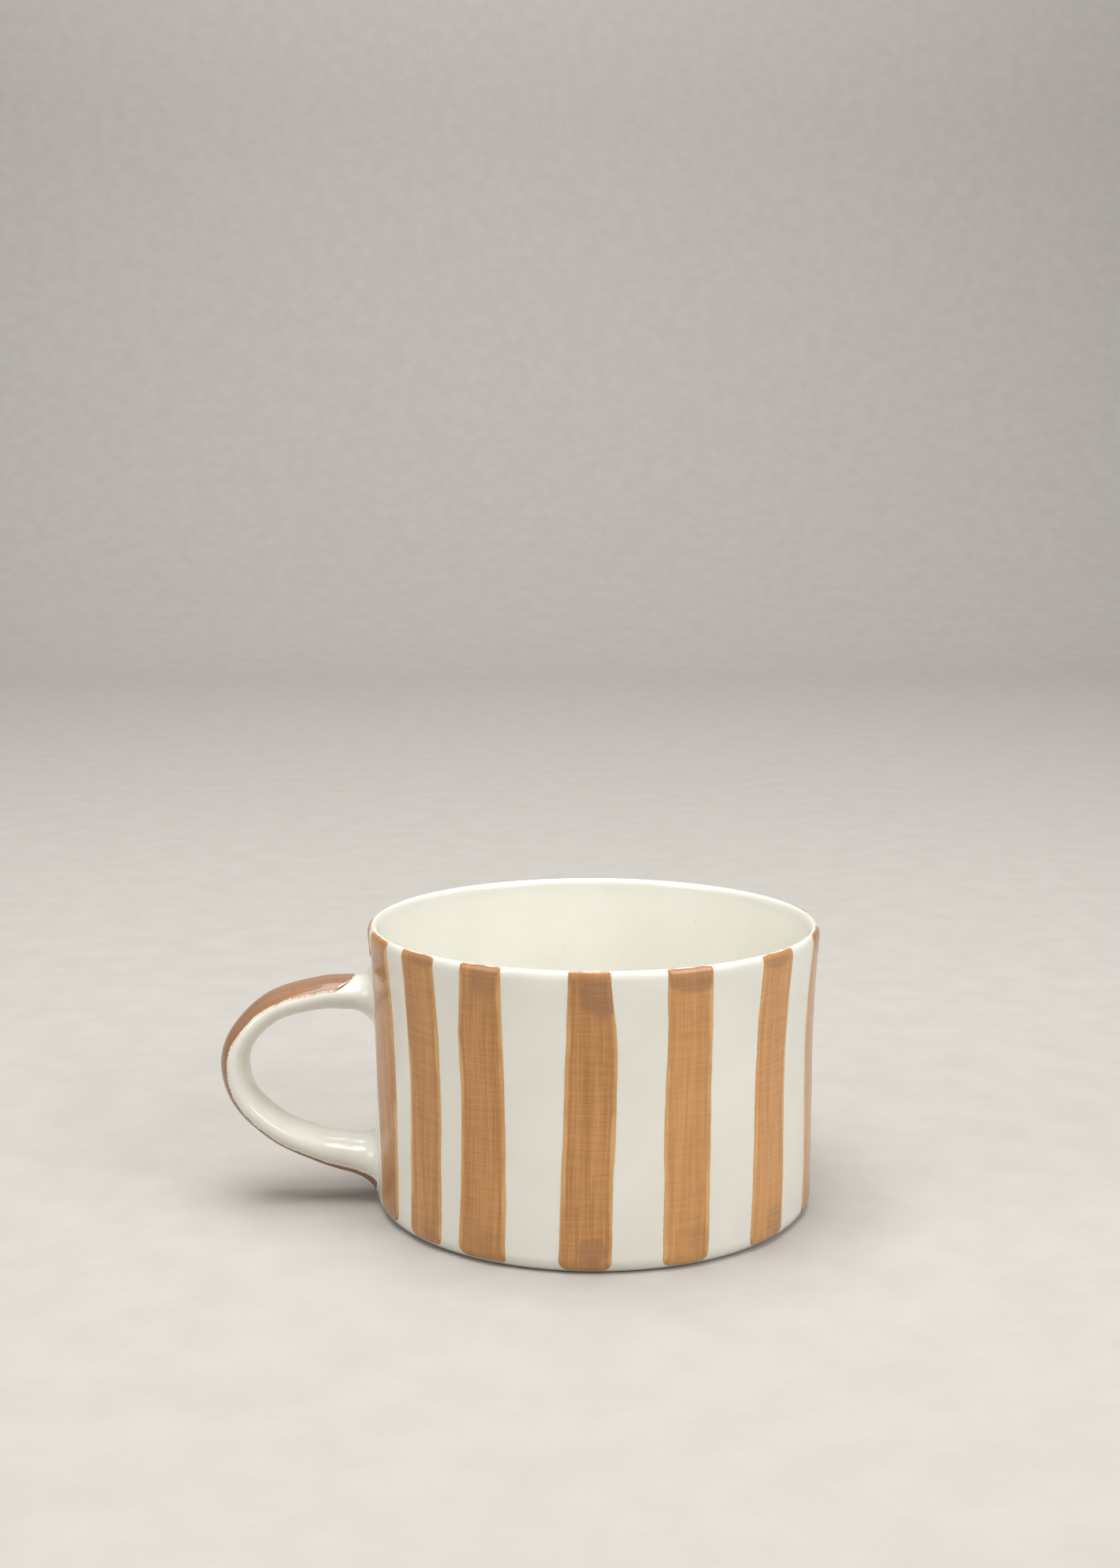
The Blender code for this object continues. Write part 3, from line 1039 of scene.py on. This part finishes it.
@dataclass
class WallStripe(Stroke):
    """One brushed stripe on the cup's wall, drawn up over the lip almost to its crown."""

    wall: OuterWall
    mark: BrushMark
    number: int
    node: str
    top_corner: float = 0.9
    full_ends: float = 1.5
    end_zone: Pair = (2.5, 6.0)
    side_waver: Pair = (0.11, 3.5)
    top_waver: Pair = (0.22, 1.5)
    thickness_waver: Pair = (0.035 * MM, 5.0)
    columns: int = 34
    rows: int = 150
    thickness: float = 0.24 * MM
    round_width: float = 0.55
    sunk: float = 0.06 * MM
    backing: float = 0.40 * MM

    def __post_init__(self) -> None:
        """Name the piece, choose its slip and draw its edges' wavering."""
        self.name = self.node + "_slip"
        self.slip = BrownSlip(tone=self.mark.tone)
        self.low = self.mark.low
        self.full = (self.wall.lip_height + self.wall.lip_arc) / MM
        self.high = (self.wall.lip_height + self.wall.lip_arc * self.mark.over_lip) / MM
        seed = self.number * 7
        self.left_wander = Wander(seed + 1, *self.side_waver)
        self.right_wander = Wander(seed + 2, *self.side_waver)
        self.top_wander = Wander(seed + 4, *self.top_waver)
        self.thickness_wander = Wander(seed + 3, *self.thickness_waver)

    def spot(self, across: float, along: float) -> Spot:
        """Where a point of the flat sheet goes on the wall."""
        high = self.high + self.top_wander.at((across + 1.0) / 2.0)
        travel = mix(self.low, high, along)
        down = 1.0 - travel / self.full
        radius = self.wall.section(travel * MM)[0] / MM
        left_turn = along_curve(self.mark.left, down) + self.left_wander.at(down)
        right_turn = along_curve(self.mark.right, down) + self.right_wander.at(down)
        left, right = math.radians(left_turn) * radius, math.radians(right_turn) * radius
        below, above = travel - self.low, high - travel
        left += corner_trim(below, self.mark.low_corners[0]) + corner_trim(above, self.top_corner)
        right -= corner_trim(below, self.mark.low_corners[1]) + corner_trim(above, self.top_corner)
        half = (right - left) / 2.0
        turn = math.degrees((mix(left, right, (across + 1.0) / 2.0)) / radius)
        side_gap, end_gap = (1.0 - abs(across)) * half, min(below, above)
        edge = side_gap * end_gap / math.hypot(side_gap, end_gap) if side_gap and end_gap else 0.0
        edge = mix(edge, side_gap, smooth_step(*self.end_zone, end_gap))
        pool = max([pool.at(across, half, travel) for pool in self.mark.pools], default=0.0)
        lift = self.relief(edge, pool) + self.thickness_wander.at(down) * min(1.0, edge)
        place = self.wall.point(turn, travel * MM, lift)
        thinning = side_gap + self.full_ends * smooth_step(self.full_ends * 2.0, 0.0, end_gap)
        return place, (across * half, travel, self.number * self.apart), thinning, pool


@dataclass
class HandleStripe(Stroke):
    """The dry-brushed stripe along the handle's back."""

    handle: Handle
    number: int = 40
    node: str = "handle_stripe"
    reach: tuple[float, ...] = (70.0, 73.0, 72.0, 69.0, 66.0, 65.0, 67.0)
    start: float = 6.0
    slant: float = 3.8
    end_left: float = 0.9
    corner: float = 2.2
    waver: Pair = (2.2, 9.0)
    columns: int = 30
    rows: int = 330
    thickness: float = 0.16 * MM
    round_width: float = 1.2
    sunk: float = 0.05 * MM
    backing: float = 0.40 * MM
    slip: BrownSlip = field(
        default_factory=lambda: BrownSlip(
            light=(0.345, 0.175, 0.088, 1.0),
            dark=(0.215, 0.102, 0.050, 1.0),
            ragged=0.8,
            rim_width=0.7,
        )
    )

    def __post_init__(self) -> None:
        """Name the piece and measure the handle's back."""
        self.name = "handle_stripe_slip"
        self.lengths = self.handle.crown_lengths()
        self.left_wander = Wander(401, *self.waver)
        self.right_wander = Wander(402, *self.waver)

    def station_at(self, length: float) -> float:
        """The section number, fractions included, at a length along the back."""
        for index, (first, second) in enumerate(zip(self.lengths, self.lengths[1:])):
            if length <= second:
                return index + (length - first) / (second - first)
        return float(len(self.lengths) - 1)

    def spot(self, across: float, along: float) -> Spot:
        """Where a point of the flat sheet goes on the handle's back."""
        total = self.lengths[-1] / MM
        start = self.start + self.slant * max(0.0, -across) ** 2
        length = mix(start, total - self.end_left, along)
        place = self.station_at(length * MM)
        wander = self.right_wander if across > 0 else self.left_wander
        widest = along_curve(self.reach, along) + wander.at(along)
        half = self.handle.arc_length(place, widest) / MM
        end_gap = min(length - start, total - self.end_left - length)
        trimmed = 1.0 - corner_trim(end_gap, self.corner) / half
        side_gap = (1.0 - abs(across)) * half * trimmed
        edge = min(side_gap, end_gap)
        angle = across * widest * trimmed
        spot = self.handle.back_point(place, angle, self.relief(edge, 0.0))
        return spot, (across * half * trimmed, length, self.number * self.apart), edge, 0.0


FRONT_MARKS = (
    BrushMark(
        (11.0, 8.0, 10.0, 14.3, 15.8),
        (24.7, 26.0, 27.0, 27.6, 27.7),
        low=2.2,
        tone=0.46,
        pools=(
            Pool(0.0, 62.5, (7.0, 3.0), 0.45, soft=0.7),
            Pool(0.35, 8.0, (4.6, 9.5), 0.50, soft=0.7),
        ),
    ),
    BrushMark(
        (32.7, 33.55, 34.4, 34.2, 34.05),
        (44.8, 45.55, 46.1, 46.0, 45.9),
        low=1.4,
        tone=0.58,
        pools=(
            Pool(0.3, 69.2, (5.0, 2.6), 0.55),
            Pool(0.2, 4.2, (4.6, 3.2), 0.25, soft=0.8),
        ),
    ),
    BrushMark(
        (53.2, 52.05, 52.57, 52.2, 51.3),
        (64.1, 64.3, 64.72, 64.92, 64.55),
        low=1.1,
        low_corners=(3.0, 1.2),
        tone=0.55,
        pools=(
            Pool(0.25, 67.0, (5.4, 6.0), 0.50, soft=0.8),
            Pool(0.1, 6.0, (4.8, 5.0), 0.35, soft=0.8),
        ),
    ),
    BrushMark(
        (80.3, 79.6, 79.0, 78.3, 77.8),
        (90.0, 91.7, 91.5, 90.8, 90.6),
        low=0.8,
        pools=(
            Pool(0.0, 69.3, (9.0, 4.0), 0.42, soft=0.35),
            Pool(0.40, 64.0, (4.7, 4.9), 0.70, tilt=-20.0, soft=0.35),
            Pool(0.25, 5.8, (3.9, 3.4), 0.55, soft=0.45),
        ),
    ),
    BrushMark(
        (103.3, 103.7, 103.13, 103.2, 102.85),
        (115.0, 115.5, 115.48, 115.42, 115.15),
        low=0.9,
        tone=0.82,
        pools=(
            Pool(-0.30, 68.6, (7.5, 4.4), 0.55, tilt=20.0, soft=0.3),
            Pool(0.6, 6.0, (3.8, 5.0), 0.40, soft=0.7),
        ),
    ),
    BrushMark(
        (130.35, 129.62, 129.17, 128.95, 128.1),
        (142.8, 141.87, 141.35, 141.7, 141.1),
        low=1.1,
        tone=0.84,
        pools=(
            Pool(-0.1, 69.2, (6.0, 3.4), 0.50, soft=0.4),
            Pool(0.45, 5.4, (4.2, 4.8), 0.45, soft=0.7),
        ),
    ),
    BrushMark(
        (157.5, 155.4, 155.1, 156.0, 154.3),
        (169.5, 168.0, 167.5, 168.0, 167.0),
        low=1.4,
        pools=(
            Pool(0.0, 68.0, (5.5, 4.5), 0.55),
            Pool(0.0, 4.0, (5.0, 4.0), 0.45),
        ),
    ),
)
SHORT_MARK = BrushMark(
    (-6.6,) * 5,
    (4.2,) * 5,
    low=61.6,
    over_lip=0.74,
    low_corners=(1.8, 1.8),
    pools=(Pool(0.0, 66.5, (5.0, 3.5), 0.55),),
)


@dataclass
class Stripes:
    """All the brushed stripes of the cup's wall."""

    wall: OuterWall
    front: tuple[BrushMark, ...] = FRONT_MARKS
    first_back_turn: float = 195.0
    last_back_turn: float = 338.0
    back_count: int = 7
    short: BrushMark = SHORT_MARK

    def marks(self) -> list[BrushMark]:
        """The full-height stripes in order round the cup."""
        pitch = (self.last_back_turn - self.first_back_turn) / (self.back_count - 1)
        turns = [self.first_back_turn + pitch * index for index in range(self.back_count)]
        behind = [BrushMark.behind(turn, 90 + index) for index, turn in enumerate(turns)]
        return [*self.front, *behind]

    def build(self) -> None:
        """Make every stripe."""
        for index, mark in enumerate(self.marks()):
            WallStripe(self.wall, mark, index + 1, f"wall_stripe_{index + 1:02d}").build()
        WallStripe(self.wall, self.short, 20, "short_stripe", rows=30).build()


# ---------------------------------------------------------------- the studio


@dataclass(frozen=True)
class SoftBox:
    """A square soft light, aimed at the mug unless told otherwise.

    Attributes:
        name: What it is called.
        place: Where it stands.
        size: Its side.
        power: Its power in watts.
        tint: Its colour.
        target: The place that it is aimed at.
    """

    name: str
    place: Triple
    size: float
    power: float
    tint: Triple = (1.0, 1.0, 1.0)
    target: Triple = (0.0, 0.0, 0.03)

    def build(self) -> None:
        """Hang the light and aim it."""
        data = bpy.data.lights.new(self.name, "AREA")
        data.shape = "SQUARE"
        data.size = self.size
        data.energy = self.power
        data.color = self.tint
        lamp = bpy.data.objects.new(self.name, data)
        bpy.context.scene.collection.objects.link(lamp)
        lamp.location = self.place
        aim = Vector(self.target) - Vector(self.place)
        lamp.rotation_euler = aim.to_track_quat("-Z", "Y").to_euler()


@dataclass
class Studio:
    """Pale paper sweep, soft lights and the camera."""

    floor_size: float = 5.0
    back_distance: float = 2.2
    back_height: float = 2.4
    sweep_radius: float = 0.7
    sky: Triple = (0.96, 0.98, 1.0)
    sky_strength: float = 0.40
    lens: float = 44.08
    camera_place: Triple = (-32.4 * MM, -461.6 * MM, 168.5 * MM)
    camera_pitch: float = 8.03
    camera_heading: float = -3.0
    lights: tuple[SoftBox, ...] = (
        SoftBox("overhead", (-0.05, -0.12, 1.05), 0.8, 13.2),
        SoftBox("front_right", (0.82, -0.68, 0.72), 0.6, 6.6),
        SoftBox("left", (-0.9, -0.5, 0.6), 0.5, 2.4, (1.0, 0.98, 0.94)),
        SoftBox("backdrop", (0.0, 0.9, 1.9), 1.2, 26.0, target=(0.0, 2.2, 1.0)),
    )
    paper: StudioPaper = field(default_factory=StudioPaper)

    def build(self) -> None:
        """Set up the whole studio."""
        self.build_sweep()
        for light in self.lights:
            light.build()
        self.build_sky()
        self.build_camera()

    def build_sweep(self) -> None:
        """A floor whose far edge is extruded up into a backdrop, with a bevelled bend between."""
        bpy.ops.object.select_all(action="DESELECT")
        bpy.ops.mesh.primitive_plane_add(size=1.0)
        sweep = named("paper_sweep")
        half = self.floor_size / 2
        with editing(sweep) as mesh:
            bpy.ops.mesh.select_all(action="SELECT")
            bpy.ops.transform.resize(value=(self.floor_size, self.floor_size, 1.0))
            bpy.ops.transform.translate(value=(0.0, self.back_distance - half, 0.0))
            self.select_far_edge(mesh, 0.0)
            upwards = (0.0, 0.0, self.back_height)
            bpy.ops.mesh.extrude_region_move(TRANSFORM_OT_translate={"value": upwards})
            self.select_far_edge(mesh, 0.0)
            bpy.ops.mesh.bevel(offset=self.sweep_radius, segments=24, affect="EDGES")
        shade(sweep)
        sweep.data.materials.append(self.paper.material("studio paper"))

    def select_far_edge(self, mesh: bpy.types.Mesh, height: float) -> None:
        """Select only the edge that runs along the back at a height."""
        bpy.ops.mesh.select_mode(type="EDGE")
        bpy.ops.mesh.select_all(action="DESELECT")
        work = bmesh.from_edit_mesh(mesh)
        for edge in work.edges:
            at_back = all(abs(end.co.y - self.back_distance) < MM for end in edge.verts)
            at_height = all(abs(end.co.z - height) < MM for end in edge.verts)
            edge.select_set(at_back and at_height)
        bmesh.update_edit_mesh(mesh)

    def build_sky(self) -> None:
        """An even, slightly cool surround."""
        world = bpy.data.worlds.new("even surround")
        bpy.context.scene.world = world
        world.use_nodes = True
        background = world.node_tree.nodes["Background"]
        background.inputs["Color"].default_value = (*self.sky, 1.0)
        background.inputs["Strength"].default_value = self.sky_strength

    def build_camera(self) -> None:
        """The camera, in front of the mug and a little above it."""
        data = bpy.data.cameras.new("camera")
        data.lens = self.lens
        data.sensor_width = 36.0
        data.clip_start = 0.01
        camera = bpy.data.objects.new("camera", data)
        bpy.context.scene.collection.objects.link(camera)
        camera.location = self.camera_place
        camera.rotation_euler = (
            math.radians(90.0 - self.camera_pitch),
            0.0,
            math.radians(self.camera_heading),
        )
        bpy.context.scene.camera = camera
        bpy.context.scene.view_settings.view_transform = "Standard"


# ---------------------------------------------------------------- the whole mug


def main() -> None:
    """Build the mug piece by piece, then the studio round it."""
    logging.basicConfig(level=logging.INFO, format="%(name)s: %(message)s")
    low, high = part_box("cup_body")
    wall = OuterWall(height=high.z, rim_radius=(high.x - low.x) / 2)
    Cup(wall).build()
    handle = Handle(wall)
    handle.build()
    HandleStripe(handle).build()
    Stripes(wall).build()
    Studio().build()


if __name__ == "__main__":
    main()
